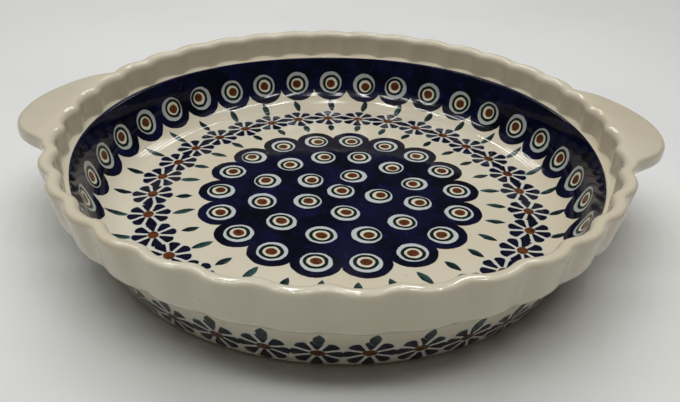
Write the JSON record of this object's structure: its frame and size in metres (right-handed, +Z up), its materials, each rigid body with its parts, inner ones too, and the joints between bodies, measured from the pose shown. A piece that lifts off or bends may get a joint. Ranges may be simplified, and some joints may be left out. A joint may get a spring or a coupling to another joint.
{
  "type": "quiche dish",
  "caption": "Round stoneware quiche dish with a flat floor, a flared wall, a fluted collar with a rounded lip, and two half-moon tab handles.",
  "frame": {"origin": "centre of the dish on the plane that its foot ring stands on", "axes": "+Z up out of the dish, +X towards the right handle, +Y towards the back, which both handles sit 3 degrees nearer to"},
  "size_m": [0.3042, 0.2652, 0.0498],
  "materials": {
    "stamped_glaze": "opaque glazed stoneware, cobalt, green and rust stamps under a clear gloss glaze",
    "cream_glaze": "opaque glazed stoneware, plain cream gloss glaze",
    "bare_clay": "unglazed fired stoneware, matt and slightly gritty"
  },
  "bodies": {
    "root": {"foot_ring": "bare_clay", "base_disc": "stamped_glaze", "lower_wall": "stamped_glaze", "fluted_collar": "cream_glaze", "handle_left": "cream_glaze", "handle_right": "cream_glaze"}
  },
  "joints": []
}
